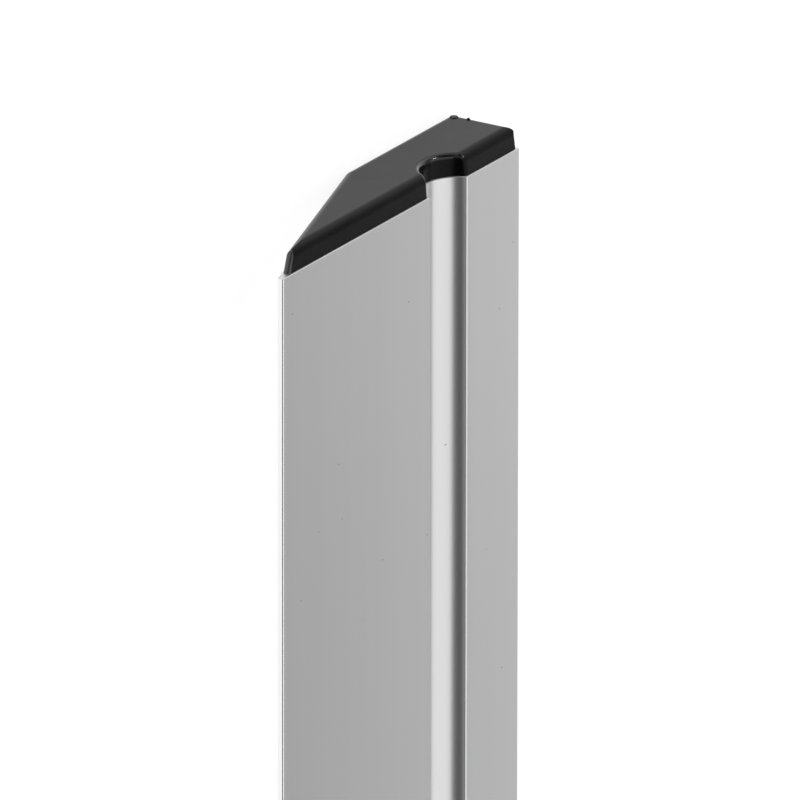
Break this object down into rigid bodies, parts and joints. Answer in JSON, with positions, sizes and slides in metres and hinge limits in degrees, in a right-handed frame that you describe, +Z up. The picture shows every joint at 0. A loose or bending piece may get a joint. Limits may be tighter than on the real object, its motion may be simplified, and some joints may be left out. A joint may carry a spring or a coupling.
{
  "type": "plasterer's trapezoidal straightedge",
  "caption": "Hollow aluminium straightedge with a trapezoid section, thin working edge and finger groove, closed by push-in black plastic end caps; levels plaster and screed.",
  "frame": {"origin": "on the floor, under the middle of the part's outer box", "axes": "+X along the bar, from the pictured end to the far end; +Y from the thin working edge to the thick edge; +Z up, out of the working face"},
  "size_m": [1.011, 0.1, 0.0185],
  "materials": {
    "aluminium": "mill-finish extrusion, satin, fine lines along the bar",
    "cap_plastic": "black moulded plastic, satin, fine grain"
  },
  "bodies": {
    "root": {"hollow_bar": "aluminium", "left_end_cap": "cap_plastic", "right_end_cap": "cap_plastic"}
  },
  "joints": []
}
